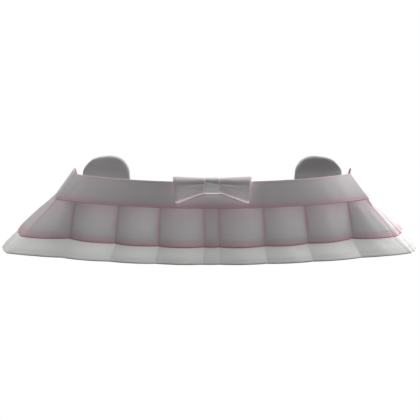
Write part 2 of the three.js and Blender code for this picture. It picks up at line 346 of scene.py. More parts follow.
def slope_row(upper: Ring, lower: Ring, share: float, face: int, fullness: float) -> np.ndarray:
    """Return a row of points between two rings.

    Args:
        upper: The ring at share 0.
        lower: The ring at share 1.
        share: How far down the row is.
        face: FRONT or BACK.
        fullness: The share of the pleats' belly that shows there.

    Returns:
        One point a fold, in millimetres.
    """
    upper_x, upper_y = upper.plan(FOLDS)
    lower_x, lower_y = lower.plan(FOLDS)
    x = mix(upper_x, lower_x, share)
    y = mix(upper_y, lower_y, share)
    along_x = np.gradient(x)
    along_y = np.gradient(y)
    length = np.hypot(along_x, along_y)
    belly = fullness * BELLIES
    x = x - along_y / length * belly
    y = y + along_x / length * belly
    z = mix(upper.z, lower.z, share) - dip_at(face * RIM.plan(FOLDS)[1])
    return np.stack([x, face * y, z], axis=1)


def deselect_all() -> None:
    """Leave nothing selected."""
    bpy.ops.object.select_all(action="DESELECT")


def select_only(obj: bpy.types.Object) -> None:
    """Select one object and make it active."""
    deselect_all()
    obj.select_set(True)
    bpy.context.view_layer.objects.active = obj


def in_edit_mode(obj: bpy.types.Object, work: Callable[[], None]) -> None:
    """Run operators on a whole mesh in edit mode.

    Args:
        obj: The object whose mesh is edited.
        work: What is done while everything on it is selected.
    """
    select_only(obj)
    bpy.ops.object.mode_set(mode="EDIT")
    bpy.ops.mesh.select_all(action="SELECT")
    work()
    bpy.ops.object.mode_set(mode="OBJECT")


def apply_modifier(obj: bpy.types.Object, kind: str, **settings: object) -> None:
    """Add a modifier, set it and apply it.

    Args:
        obj: The object to change.
        kind: Blender's name for the modifier.
        **settings: Its settings by name.
    """
    select_only(obj)
    modifier = obj.modifiers.new(kind.lower(), kind)
    for name, value in settings.items():
        setattr(modifier, name, value)
    bpy.ops.object.modifier_apply(modifier=modifier.name)


@dataclass
class ClothGrid:
    """Rows of points in millimetres, with the marks that the cloth's finish reads."""

    points: np.ndarray
    cut: np.ndarray
    blush: np.ndarray
    tone: Optional[np.ndarray] = None

    def to_object(self, name: str) -> bpy.types.Object:
        """Add a grid primitive and put its points in place.

        Args:
            name: The name of the new piece.

        Returns:
            The piece, with its cut as UV map, and its blush and its painted light and shade as
            attributes.
        """
        rows, columns = self.points.shape[:2]
        deselect_all()
        bpy.ops.mesh.primitive_grid_add(
            x_subdivisions=columns - 1, y_subdivisions=rows - 1, size=1, location=(0, 0, 0))
        obj = bpy.context.active_object
        obj.name = obj.data.name = name
        mesh = obj.data
        place = np.empty(len(mesh.vertices) * 3)
        mesh.vertices.foreach_get("co", place)
        place = place.reshape(-1, 3)
        column = np.rint((place[:, 0] + 0.5) * (columns - 1)).astype(int)
        row = np.rint((place[:, 1] + 0.5) * (rows - 1)).astype(int)
        mesh.vertices.foreach_set("co", (self.points[row, column] * MM).ravel())
        corner = np.empty(len(mesh.loops), dtype=int)
        mesh.loops.foreach_get("vertex_index", corner)
        mesh.uv_layers[0].name = "cut"
        mesh.uv_layers[0].data.foreach_set("uv", (self.cut[row, column] * MM)[corner].ravel())
        # Painted light and shade at each point, 1 where none is painted.
        tone = np.ones_like(self.blush) if self.tone is None else self.tone
        for mark_name, values in (("blush", self.blush), ("tone", tone)):
            mark = mesh.attributes.new(mark_name, "FLOAT", "POINT")
            mark.data.foreach_set("value", values[row, column].ravel())
        mesh.update()
        return obj


def face_outwards(wall: bpy.types.Object) -> None:
    """Turn a ring's wall over where most of its outer face points inwards.

    Args:
        wall: The wall, before it has a thickness.
    """
    total = 0.0
    for polygon in wall.data.polygons:
        centre = polygon.center
        out = Vector((centre.x * SIDEWAYS_SHARE, centre.y, UPWARDS_SHARE))
        total += polygon.normal.dot(out) * polygon.area
    if total < 0:
        in_edit_mode(wall, bpy.ops.mesh.flip_normals)


def close_up(obj: bpy.types.Object) -> None:
    """Merge the seams and poles of a closed form and turn its faces outwards."""
    def work() -> None:
        """Merge, then recalculate."""
        bpy.ops.mesh.remove_doubles(threshold=SAME_POINT)
        bpy.ops.mesh.dissolve_degenerate(threshold=SAME_POINT / 10)
        bpy.ops.mesh.normals_make_consistent(inside=False)
    in_edit_mode(obj, work)


def shade_soft(obj: bpy.types.Object, angle: float) -> None:
    """Shade smooth, except over edges that are sharper than an angle in degrees."""
    select_only(obj)
    bpy.ops.object.shade_smooth_by_angle(angle=math.radians(angle))


class NodeBench:
    """A material's node tree with short ways to add to it."""

    def __init__(self, name: str) -> None:
        """Start a material with a Principled shader.

        Args:
            name: The material's name.
        """
        self.material = bpy.data.materials.new(name)
        self.material.use_nodes = True
        self.tree = self.material.node_tree
        self.shader = next(n for n in self.tree.nodes if n.type == "BSDF_PRINCIPLED")

    def add(self, kind: str, inputs: Optional[dict] = None, **settings: object) -> bpy.types.Node:
        """Add a node.

        Args:
            kind: Blender's name for the node's class.
            inputs: Values or sockets for its inputs, by name or number.
            **settings: Its settings by name.

        Returns:
            The new node.
        """
        node = self.tree.nodes.new(kind)
        for name, value in settings.items():
            setattr(node, name, value)
        for key, value in (inputs or {}).items():
            self.feed(node.inputs[key], value)
        return node

    def feed(self, socket: bpy.types.NodeSocket, value: object) -> None:
        """Link a socket or a node's first output to an input, or set its value."""
        if isinstance(value, bpy.types.Node):
            value = value.outputs[0]
        if isinstance(value, bpy.types.NodeSocket):
            self.tree.links.new(value, socket)
        else:
            socket.default_value = value

    def math(
        self, operation: str, a: object, b: object = 0.0, clamp: bool = False,
    ) -> bpy.types.Node:
        """Add a Math node.

        Args:
            operation: Its operation.
            a: The first value or socket.
            b: The second value or socket.
            clamp: Whether the result stays between 0 and 1.

        Returns:
            The node.
        """
        return self.add("ShaderNodeMath", {0: a, 1: b}, operation=operation, use_clamp=clamp)

    def blend(self, share: object, a: object, b: object, how: str = "MIX") -> bpy.types.NodeSocket:
        """Mix two colours.

        Args:
            share: How much of b shows.
            a: The first colour or socket.
            b: The second colour or socket.
            how: The blend type.

        Returns:
            The colour socket of the mix.
        """
        node = self.add("ShaderNodeMix", data_type="RGBA", blend_type=how, clamp_factor=True)
        self.feed(node.inputs[0], share)
        self.feed(node.inputs[6], (*a, 1) if isinstance(a, tuple) else a)
        self.feed(node.inputs[7], (*b, 1) if isinstance(b, tuple) else b)
        return node.outputs[2]

    def shaded(self, colour: bpy.types.NodeSocket, light: object) -> bpy.types.NodeSocket:
        """Return a colour multiplied by a lightness that varies over the surface."""
        grey = self.add("ShaderNodeCombineColor", {0: light, 1: light, 2: light})
        return self.blend(1.0, colour, grey.outputs[0], "MULTIPLY")

    def between(self, value: object, low: float, high: float) -> bpy.types.Node:
        """Return a value from 0 to 1 spread between two others."""
        return self.add("ShaderNodeMapRange", {0: value, 1: 0.0, 2: 1.0, 3: low, 4: high})


@dataclass(frozen=True)
class ClothFinish:
    """A woven cloth, with its sizes in metres."""

    name: str
    colour: Colour
    blush: Colour = (0.80, 0.54, 0.61)
    thread: float = 0.0007
    weave_depth: float = 0.00006
    crinkle_depth: float = 0.0002
    crinkle_scale: float = 110.0
    roughness: float = 0.82
    sheen: float = 0.2
    stitch_rows: tuple[float, ...] = ()
    stitch_length: float = 0.0026
    stitch_half: float = 0.00026
    stitch_share: ClassVar[float] = 0.74
    stitch_colour: ClassVar[Colour] = (0.45, 0.40, 0.41)
    stitch_strength: ClassVar[float] = 0.16
    stitch_depth: ClassVar[float] = 0.00018
    patch_scale: ClassVar[float] = 22.0
    patch_shade: ClassVar[float] = 0.05
    fibre_scale: ClassVar[float] = 900.0
    fibre_shade: ClassVar[float] = 0.07
    weave_shade: ClassVar[float] = 0.06
    roughness_spread: ClassVar[float] = 0.06
    relief: ClassVar[float] = 0.8
    sheen_roughness: ClassVar[float] = 0.45
    specular: ClassVar[float] = 0.25

    def weave(self, bench: NodeBench, u: object, v: object) -> bpy.types.Node:
        """Return the height of the threads, from 0 to 1."""
        turn = 2 * math.pi / self.thread
        across = bench.math("SINE", bench.math("MULTIPLY", u, turn))
        down = bench.math("SINE", bench.math("MULTIPLY", v, turn))
        crossing = bench.math("MULTIPLY", across, down)
        return bench.add(
            "ShaderNodeMath", {0: crossing, 1: 0.5, 2: 0.5}, operation="MULTIPLY_ADD")

    def stitches(self, bench: NodeBench, u: object, v: object) -> Optional[bpy.types.Node]:
        """Return a mask of the stitches, from 0 to 1, or nothing where the cloth has none."""
        if not self.stitch_rows:
            return None
        total: Optional[bpy.types.Node] = None
        place = bench.math("FRACT", bench.math("DIVIDE", u, self.stitch_length))
        in_stitch = bench.math("LESS_THAN", place, self.stitch_share)
        for row in self.stitch_rows:
            away = bench.math("ABSOLUTE", bench.math("SUBTRACT", v, row))
            line = bench.math("LESS_THAN", away, self.stitch_half)
            mark = bench.math("MULTIPLY", line, in_stitch)
            total = mark if total is None else bench.math("ADD", total, mark, clamp=True)
        return total

    def material(self) -> bpy.types.Material:
        """Return the cloth's material."""
        bench = NodeBench(self.name)
        place = bench.add("ShaderNodeTexCoord").outputs["Object"]
        cut = bench.add("ShaderNodeSeparateXYZ", {0: bench.add("ShaderNodeUVMap", uv_map="cut")})
        u, v = cut.outputs[0], cut.outputs[1]
        weave = self.weave(bench, u, v)
        patches = bench.add(
            "ShaderNodeTexNoise", {"Vector": place, "Scale": self.patch_scale, "Detail": 3.0})
        fibres = bench.add(
            "ShaderNodeTexNoise", {"Vector": place, "Scale": self.fibre_scale, "Detail": 2.0})
        crinkle = bench.add(
            "ShaderNodeTexNoise",
            {"Vector": place, "Scale": self.crinkle_scale, "Detail": 3.0, "Roughness": 0.45})
        dye = bench.add("ShaderNodeAttribute", attribute_name="blush").outputs["Fac"]
        # Painted light and shade: each point's lightness from the mesh is multiplied into the
        # cloth's colour.
        tone = bench.add("ShaderNodeAttribute", attribute_name="tone").outputs["Fac"]
        colour = bench.shaded(bench.blend(dye, self.colour, self.blush), tone)
        grain = (
            (patches, self.patch_shade), (fibres, self.fibre_shade), (weave, self.weave_shade))
        for pattern, strength in grain:
            colour = bench.shaded(colour, bench.between(pattern, 1 - strength, 1.0))
        height = bench.math("MULTIPLY", weave, self.weave_depth)
        ripples = bench.math("MULTIPLY", crinkle, self.crinkle_depth)
        height = bench.math("ADD", height, ripples)
        stitches = self.stitches(bench, u, v)
        if stitches is not None:
            thread = bench.math("MULTIPLY", stitches, self.stitch_strength)
            colour = bench.blend(thread, colour, self.stitch_colour)
            raised = bench.math("MULTIPLY", stitches, self.stitch_depth)
            height = bench.math("ADD", height, raised)
        rough = bench.between(
            fibres, self.roughness - self.roughness_spread, self.roughness + self.roughness_spread)
        relief = bench.add(
            "ShaderNodeBump", {"Height": height, "Distance": 1.0, "Strength": self.relief})
        bench.feed(bench.shader.inputs["Base Color"], colour)
        bench.feed(bench.shader.inputs["Roughness"], rough)
        bench.feed(bench.shader.inputs["Normal"], relief)
        bench.shader.inputs["Sheen Weight"].default_value = self.sheen
        bench.shader.inputs["Sheen Roughness"].default_value = self.sheen_roughness
        bench.shader.inputs["Specular IOR Level"].default_value = self.specular
        return bench.material


BAND_CLOTH = ClothFinish("waistband_cotton", (0.80, 0.765, 0.775), stitch_rows=(0.0022, 0.0262))
RUFFLE_CLOTH = ClothFinish("ruffle_cotton", (0.80, 0.775, 0.78), stitch_rows=(0.0066,))
# The under ruffle's lighter grey is painted light, standing for the light on the more flared lower
# ruffle.
UNDER_CLOTH = ClothFinish("under_ruffle_cotton", (0.87, 0.87, 0.858), stitch_rows=(0.0066,))
BOW_CLOTH = ClothFinish(
    "bow_satin", (0.88, 0.855, 0.865), blush=(0.95, 0.76, 0.83),
    roughness=0.6, sheen=0.35, thread=0.0005, weave_depth=0.00003)
# The lobes' darker grey is painted shade.
LOBE_CLOTH = ClothFinish(
    "lobe_fleece", (0.72, 0.72, 0.713), thread=0.0009, weave_depth=0.0001, sheen=0.5, roughness=0.9)


def dress(piece: bpy.types.Object, finish: ClothFinish, node: str, slot: str) -> None:
    """Give a piece its cloth, hide the node that it replaces and hang it from the root.

    Args:
        piece: The new piece.
        finish: Its cloth.
        node: The node that it replaces.
        slot: The record's slot that its finish is in. It is not used.
    """
    piece.data.materials.clear()
    piece.data.materials.append(finish.material())
    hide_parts(node)
    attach(piece, "root")


@dataclass(frozen=True)
class SoftCrease:
    """A soft crease in a cloth wall: its fold, its run down the slope and its form, in mm."""

    fold: float
    start: float
    end: float
    width: float
    depth: float
    lean: float = 0.0
    fade: ClassVar[float] = 3.0
    tail: ClassVar[float] = 5.0
    valley_depth: ClassVar[float] = 0.6
    valley_place: ClassVar[float] = 1.7

    def relief(self, folds: np.ndarray, down: float) -> np.ndarray:
        """Return how far the crease moves each fold's point outwards at a place down the slope."""
        starting = smooth(down, self.start - self.fade, self.start + self.fade)
        ending = smooth(down, self.end - self.tail, self.end + self.fade)
        pleat = PleatKind.at(self.fold).value
        middle = self.fold + self.lean * (down - self.start) / pleat.width
        away = (folds - middle) * pleat.width
        ridge = bump(away, 0, self.width)
        valley = bump(away, self.valley_place * self.width, self.width)
        return self.depth * (starting * (1 - ending)) * (ridge - self.valley_depth * valley)


@dataclass(frozen=True)
class Station:
    """A row of the cut: its place down the slope, how far in it lies and its height on the cut."""

    down: float
    depth: float
    height: float


@dataclass
class ClothWall:
    """A half ring of cloth, sewn from one cut. Sizes are in millimetres."""

    node: str
    face: int
    finish: ClothFinish
    slot: str
    held: str
    cloth: float = 0.5
    turn_radius: float = 0.6
    turned: float = 7.0
    seat: float = 1.5
    creases: Sequence[SoftCrease] = ()
    slope_step: ClassVar[float] = 0.4
    turn_steps: ClassVar[int] = 6
    sharp_angle: ClassVar[float] = 55.0
    most_of_strip: ClassVar[float] = 0.999

    def row(self, down: float) -> np.ndarray:
        """Return the outer face's points at a distance down the slope."""
        raise NotImplementedError

    def stations(self) -> list[Station]:
        """Return the rows of the cut, from its upper end to its lower end."""
        raise NotImplementedError

    def blush(self, station: Station) -> np.ndarray:
        """Return how much dye each fold's point takes at a station."""
        raise NotImplementedError

    def tone(self) -> np.ndarray:
        """Return the painted light and shade at each fold, 1 where none is painted."""
        raise NotImplementedError

    def relief(self, down: float) -> np.ndarray:
        """Return how far the soft creases move a row's points outwards."""
        folds = FOLDS * -self.face
        total = np.zeros_like(folds)
        for crease in self.creases:
            total += crease.relief(folds, down)
        return total

    def normals(self, down: float) -> np.ndarray:
        """Return the outward directions of a row."""
        along = np.gradient(self.row(down), axis=0)
        downward = self.row(down + self.slope_step) - self.row(down - self.slope_step)
        normal = np.cross(downward, along) * -self.face
        return normal / np.linalg.norm(normal, axis=1, keepdims=True)

    def turn(self, edge: float, side: int, height: float) -> list[Station]:
        """Return the stations of a fold of the cloth round an edge.

        Args:
            edge: Where the edge lies down the slope.
            side: 1 where the cloth turns up at a hem, -1 where it turns down at the rim.
            height: The edge's height on the cut.

        Returns:
            The stations from the outer layer round to the inner one.
        """
        stations = []
        for step in range(self.turn_steps + 1):
            angle = math.pi * step / self.turn_steps
            down = edge - side * self.turn_radius * (1 - math.sin(angle))
            depth = self.turn_radius * (1 - math.cos(angle))
            passed = self.turn_radius * (angle - math.pi / 2)
            stations.append(Station(down, depth, height - side * passed))
        return stations

    def build(self) -> bpy.types.Object:
        """Returns:
            The finished piece.
        """
        stations = self.stations()
        points = []
        for station in stations:
            lift = self.relief(station.down) - station.depth
            points.append(self.row(station.down) + self.normals(station.down) * lift[:, None])
        longest = max(points, key=lambda row: np.linalg.norm(np.diff(row, axis=0), axis=1).sum())
        run = np.concatenate([[0], np.cumsum(np.linalg.norm(np.diff(longest, axis=0), axis=1))])
        grid = ClothGrid(
            points=np.array(points),
            cut=np.array([[(along, station.height) for along in run] for station in stations]),
            blush=np.array([self.blush(station) for station in stations]),
            tone=np.tile(self.tone(), (len(points), 1)))
        piece = grid.to_object(f"{self.node}_cloth")
        face_outwards(piece)
        width = abs(stations[0].height - stations[-1].height) * MM
        area = sum(face.area for face in piece.data.polygons)
        apply_modifier(
            piece, "SOLIDIFY", thickness=self.cloth * MM, offset=-1.0, use_even_offset=False,
            use_rim=True, use_quality_normals=True)
        shade_soft(piece, self.sharp_angle)
        dress(piece, self.finish, self.node, self.slot)
        flat = (round(run[-1] * MM, 3), round(width, 3))
        log.info("%s: flat %.3f x %.3f m, %.4f m2", piece.name, flat[0], flat[1], area)
        return piece


def spaced(start: float, end: float, count: int) -> list[float]:
    """Return evenly spaced values from start up to, and without, end."""
    return [mix(start, end, step / count) for step in range(count)]


@dataclass
class Waistband(ClothWall):
    """One half of the waistband: an outer layer, a fold at the rim and a facing."""

    rows_down: int = 14
    edge_dye: ClassVar[float] = 0.95
    edge_reach: ClassVar[float] = 4.8
    edge_power: ClassVar[float] = 1.5
    rim_dye: ClassVar[float] = 0.85
    rim_reach: ClassVar[float] = 1.5
    # Painted light: the waistband round the right side is painted lighter.
    right_light: ClassVar[float] = 0.2
    right: ClassVar[Rise] = Rise(3.0, 4.4)

    def row(self, down: float) -> np.ndarray:
        """Return the outer face's points at a distance down from the rim."""
        return slope_row(RIM, BAND_EDGE, down / BAND_SLANT, self.face, 0.0)

    def stations(self) -> list[Station]:
        """Return the rows, from the outer layer's lower edge over the rim to the facing's."""
        places = spaced(BAND_SLANT, self.turn_radius, self.rows_down)
        outer = [Station(d, 0.0, BAND_SLANT - d) for d in places]
        inner = [Station(d, 2 * self.turn_radius, BAND_SLANT + d) for d in places]
        return [*outer, *self.turn(0.0, -1, BAND_SLANT), *reversed(inner)]

    def blush(self, station: Station) -> np.ndarray:
        """Return the dye: a wide edge at the bottom and a thin one along the rim."""
        from_edge = min(station.height, 2 * BAND_SLANT - station.height)
        low = self.edge_dye * math.exp(-((from_edge / self.edge_reach) ** self.edge_power))
        rim = self.rim_dye * bump(BAND_SLANT - from_edge, 0.0, self.rim_reach)
        return np.full_like(FOLDS, max(low, rim))

    def tone(self) -> np.ndarray:
        """Return the painted light at each fold: painted lighter round the right side."""
        return 1 + self.right_light * smooth(FOLDS * -self.face, self.right.low, self.right.high)


@dataclass
class Ruffle(ClothWall):
    """One half of a pleated ruffle, from its tucked upper edge down to its turned hem."""

    rows_down: int = 26
    slant: ClassVar[float]
    tuck: ClassVar[float]
    free_at: ClassVar[float]
    first_row: ClassVar[float] = 1.2
    hem_rows: ClassVar[tuple[float, ...]] = (2.0, 4.5)

    def sunk(self, down: float) -> float:
        """Return how far the ruffle lies behind the outer face of what it comes out from under."""
        return self.seat * (1 - float(smooth(down, 0.0, self.free_at * self.slant)))

    def stations(self) -> list[Station]:
        """Return the rows, from the tucked upper edge to the end of the turned hem."""
        hem = self.slant
        above = [-self.tuck, -self.tuck / 2, -self.first_row, 0.0]
        free = spaced(self.first_row, hem - self.turn_radius, self.rows_down)
        flat = [Station(d, self.sunk(d), hem - d) for d in [*above, *free]]
        rows = (*self.hem_rows, self.turned)
        up = [Station(hem - d, 2 * self.turn_radius, -d) for d in rows]
        return [*flat, *self.turn(hem, 1, 0.0), *up]


@dataclass
class UpperRuffle(Ruffle):
    """One half of the upper ruffle, which hangs from behind the waistband."""

    slant: ClassVar[float] = UPPER_SLANT
    tuck: ClassVar[float] = BAND_TUCK
    free_at: ClassVar[float] = 0.8
    early_belly: ClassVar[float] = 0.25
    # Painted shade and light across each pleat.
    shading: ClassVar[PleatShading] = PleatShading(depth=0.25)
    hem_dye: ClassVar[float] = 0.95
    hem_fade: ClassVar[Rise] = Rise(0.5, 10.5)
    tint: ClassVar[float] = 0.26
    tint_rise: ClassVar[Rise] = Rise(16.0, 38.0)
    line_dye: ClassVar[tuple[float, float]] = (0.45, 0.4)
    line_rise: ClassVar[Rise] = Rise(10.0, 22.0)
    line_reach: ClassVar[float] = 2.2
    most_dye: ClassVar[float] = 0.98

    @classmethod
    def fullness(cls, share: float) -> float:
        """Return the share of the belly that shows at a place down the ruffle."""
        share = min(1.0, max(0.0, share))
        return share * (1 + cls.early_belly - cls.early_belly * share)

    def row(self, down: float) -> np.ndarray:
        """Return the outer face's points at a distance down from the waistband's edge."""
        if down < 0:
            return slope_row(RIM, BAND_EDGE, 1 + down / BAND_SLANT, self.face, 0.0)
        share = down / self.slant
        return slope_row(BAND_EDGE, UPPER_HEM, share, self.face, self.fullness(share))

    def blush(self, station: Station) -> np.ndarray:
        """Return the dye: a faded hem, thin lines on the creases and a tint near the waistband."""
        height = abs(station.height)
        hem = self.hem_dye * (1 - self.hem_fade.at(height))
        tint = self.tint * self.tint_rise.at(height)
        faint, stronger = self.line_dye
        lines = faint + stronger * self.line_rise.at(height)
        creases = lines * crease_nearness(self.line_reach)
        return np.clip(np.maximum(hem + tint, creases), 0, self.most_dye)

    def tone(self) -> np.ndarray:
        """Return the painted light and shade at each fold."""
        return self.shading.row(self.face)


@dataclass
class LowerRuffle(Ruffle):
    """One half of the lower ruffle, which comes out from under the upper one. It is plain."""

    rows_down: int = 16
    slant: ClassVar[float] = LOWER_SLANT
    tuck: ClassVar[float] = RUFFLE_TUCK
    free_at: ClassVar[float] = 0.9
    flattening: ClassVar[tuple[float, float]] = (0.1, 0.4)
    # Painted shade and light across each pleat, and painted light round the left side.
    shading: ClassVar[PleatShading] = PleatShading(depth=0.2)
    left_light: ClassVar[float] = 0.16
    left: ClassVar[Rise] = Rise(4.2, 5.2)

    def row(self, down: float) -> np.ndarray:
        """Return the outer face's points at a distance down from the upper ruffle's hem."""
        if down < 0:
            above = 1 + down / UPPER_SLANT
            return slope_row(BAND_EDGE, UPPER_HEM, above, self.face, UpperRuffle.fullness(above))
        share = down / self.slant
        even, growing = self.flattening
        fullness = 1 - even * share - growing * share**2
        return slope_row(UPPER_HEM, LOWER_HEM, share, self.face, fullness)

    def blush(self, station: Station) -> np.ndarray:
        """Return no dye, because this ruffle is plain."""
        return np.zeros_like(FOLDS)

    def tone(self) -> np.ndarray:
        """Return the painted light and shade at each fold: painted lighter round the left side."""
        left = smooth(FOLDS * self.face, self.left.low, self.left.high)
        return self.shading.row(self.face) + self.left_light * left


UPPER_CREASES = (
    SoftCrease(fold=-4.62, start=4, end=40, width=4.5, depth=0.30, lean=0.36),
    SoftCrease(fold=-4.30, start=10, end=44, width=6.0, depth=0.35, lean=0.16),
    SoftCrease(fold=-3.55, start=2, end=15, width=3.0, depth=0.35, lean=-0.04),
    SoftCrease(fold=-2.72, start=2, end=22, width=3.6, depth=0.30, lean=0.04),
    SoftCrease(fold=-2.28, start=22, end=43, width=5.5, depth=0.28, lean=-0.08),
    SoftCrease(fold=-1.45, start=2, end=17, width=2.8, depth=0.34),
    SoftCrease(fold=0.30, start=3, end=20, width=2.0, depth=0.25),
    SoftCrease(fold=1.62, start=2, end=25, width=3.4, depth=0.32, lean=0.08),
    SoftCrease(fold=2.35, start=2, end=13, width=2.6, depth=0.36),
    SoftCrease(fold=2.80, start=18, end=43, width=5.0, depth=0.30, lean=0.12),
    SoftCrease(fold=3.48, start=3, end=28, width=4.0, depth=0.32, lean=-0.08),
    SoftCrease(fold=4.38, start=4, end=42, width=5.0, depth=0.20, lean=0.24),
    SoftCrease(fold=4.75, start=12, end=40, width=4.0, depth=0.14, lean=0.36),
)
LOWER_CREASES = (
    SoftCrease(fold=-4.55, start=3, end=23, width=5.0, depth=0.35, lean=0.16),
    SoftCrease(fold=-3.30, start=2, end=18, width=4.0, depth=0.25),
    SoftCrease(fold=-1.70, start=6, end=23, width=4.5, depth=0.25, lean=0.04),
    SoftCrease(fold=1.40, start=3, end=20, width=4.0, depth=0.22),
    SoftCrease(fold=2.60, start=5, end=23, width=5.0, depth=0.28, lean=-0.04),
    SoftCrease(fold=4.45, start=3, end=23, width=5.0, depth=0.22, lean=0.16),
)
BAND_CREASES = (
    SoftCrease(fold=-4.45, start=5, end=22, width=5.0, depth=0.30, lean=-0.16),
    SoftCrease(fold=-2.40, start=8, end=25, width=7.0, depth=0.20, lean=0.12),
    SoftCrease(fold=2.10, start=4, end=17, width=6.0, depth=0.18, lean=-0.12),
    SoftCrease(fold=3.60, start=10, end=25, width=5.0, depth=0.25, lean=0.12),
)


def band_point(x: float, share: float, face: int) -> Vector:
    """Return a point on the arc of the waistband.

    Args:
        x: Half width at the waistband's lower edge.
        share: How far down the waistband.
        face: FRONT or BACK.

    Returns:
        The point in millimetres.
    """
    top_x = x * RIM.spread
    top = Vector((top_x, face * float(RIM.arc(top_x)), RIM.z))
    low = Vector((x, face * float(BAND_EDGE.arc(x)), BAND_EDGE.z))
    point = top.lerp(low, share)
    point.z -= float(dip_at(top.y))
    return point


def over_band(x: float, down: float, lift: float) -> Vector:
    """Return a point above the front of the waistband, by millimetres across, down and out."""
    def place(sideways: float, slope: float) -> Vector:
        """Return a point on the waistband."""
        share = slope / BAND_SLANT
        return band_point(sideways / mix(RIM.spread, 1, share), share, FRONT)
    across = place(x + 1, down) - place(x - 1, down)
    downward = place(x, down + 1) - place(x, down - 1)
    return place(x, down) + downward.cross(across).normalized() * lift


def curve_through(knots: Sequence[tuple[float, float]], count: int) -> list[tuple[float, float]]:
    """Return points on a soft closed curve through knots.

    Args:
        knots: The knots in order.
        count: How many points come back.

    Returns:
        The points, as (place down, lift) pairs.
    """
    places = np.array([*knots, knots[0]])
    lengths = np.linalg.norm(np.diff(places, axis=0), axis=1) ** 0.5
    ends = np.concatenate([[0], np.cumsum(lengths)])
    points = []
    total = len(knots)
    for step in range(count):
        at = ends[-1] * step / count
        i = int(np.searchsorted(ends, at, side="right")) - 1
        t = (at - ends[i]) / (ends[i + 1] - ends[i])
        a, b, c, d = (places[(i + k) % total] for k in (-1, 0, 1, 2))
        curve = 0.5 * (2 * b + (c - a) * t + (2 * a - 5 * b + 4 * c - d) * t**2
                       + (3 * b - a - 3 * c + d) * t**3)
        points.append((float(curve[0]), float(curve[1])))
    return points


@dataclass(frozen=True)
class PadPoint:
    """A point of a pad: its place and its place on the cloth in millimetres, its dye and its
    painted light.
    """

    place: Vector
    cut: tuple[float, float]
    dye: float
    tone: float


@dataclass(frozen=True)
class Closing:
    """How a pad closes towards its ends, in shares of its length, height and depth."""

    start: float
    run: float
    height: float
    depth: float
    core: ClassVar[float] = 0.42

    def size(self, share: float) -> float:
        """Return 1 where the pad is full, falling to 0 at its end."""
        return 1 - max(0.0, (abs(share) - self.start) / self.run) ** 2

    def squeeze(self, share: float, down: float, lift: float) -> tuple[float, float]:
        """Return a section's place down and its lift, drawn together where the pad closes."""
        size = self.size(share)
        down = 0.5 + (down - 0.5) * mix(self.height, 1.0, size)
        return down, self.core + (lift - self.core) * mix(self.depth, 1.0, size)


@dataclass(frozen=True)
class RadiatingFold:
    """A soft fold of a loop that runs out from the knot: its places down, depth and reach."""

    at_knot: float
    at_end: float
    depth: float
    reach: float
    width: ClassVar[float] = 0.05
    widening: ClassVar[float] = 0.03

    def relief(self, share: float, down: float) -> float:
        """Return how deep the fold is at a place on the loop, in millimetres."""
        fade = max(0.0, 1 - share / self.reach)
        middle = mix(self.at_knot, self.at_end, share)
        width = self.width + self.widening * share
        return self.depth * fade * float(bump(down, middle, width))


@dataclass(frozen=True)
class LoopShading:
    """The dye and the painted light and shade of a loop of the bow, by shares along it and down its
    section.
    """

    most_dye: float = 0.95
    end_dye: Peak = Peak(1.0, 0.13)
    lower_edge_dye: Peak = Peak(1.0, 0.12)
    upper_edge_dye: Peak = Peak(0.02, 0.11)
    upper_edge_dyes: tuple[float, float] = (0.95, 0.75)
    lower_knot_dye: float = 0.9
    lower_knot_fade: float = 1.2
    lower_knot: Rise = Rise(0.3, 0.8)
    upper_knot_dye: float = 0.8
    upper_knot_reach: Peak = Peak(0.0, 0.25)
    upper_knot: Rise = Rise(0.35, 0.0)
    # Painted light and shade: a lighter pad, painted highlights along the edges, painted shade by
    # the knot.
    lightness: float = 0.95
    pad_light: float = 0.18
    pad_down: Rise = Rise(0.3, 0.8)
    pad_along: Rise = Rise(0.1, 0.7)
    edge_light: float = 0.14
    lower_edge: Peak = Peak(1.0, 0.1)
    upper_edge: Peak = Peak(0.05, 0.1)
    end_edge: Peak = Peak(1.0, 0.08)
    knot_shade: float = 0.06
    knot_reach: Peak = Peak(0.0, 0.3)
    knot_down: Rise = Rise(0.2, 0.6)

    def dye(self, share: float, down: float) -> float:
        """Return how much dye a point takes: the edges and the parts by the knot."""
        upper = mix(*self.upper_edge_dyes, share) * self.upper_edge_dye.at(down)
        edge = max(self.end_dye.at(share), self.lower_edge_dye.at(down), upper)
        low = self.lower_knot_dye * (1 - share) ** self.lower_knot_fade * self.lower_knot.at(down)
        high = self.upper_knot_dye * self.upper_knot_reach.at(share) * self.upper_knot.at(down)
        return min(self.most_dye, max(self.most_dye * edge, low, high))

    def tone(self, share: float, down: float) -> float:
        """Return the painted light at a point: lightest mid-pad, painted highlights on the edges,
        shade by the knot.
        """
        pad = self.pad_light * self.pad_down.at(down) * self.pad_along.at(share)
        edges = (self.lower_edge.at(down), self.upper_edge.at(down), self.end_edge.at(share))
        by_knot = self.knot_shade * self.knot_reach.at(share) * self.knot_down.at(down)
        return self.lightness + max(pad, self.edge_light * max(edges)) - by_knot


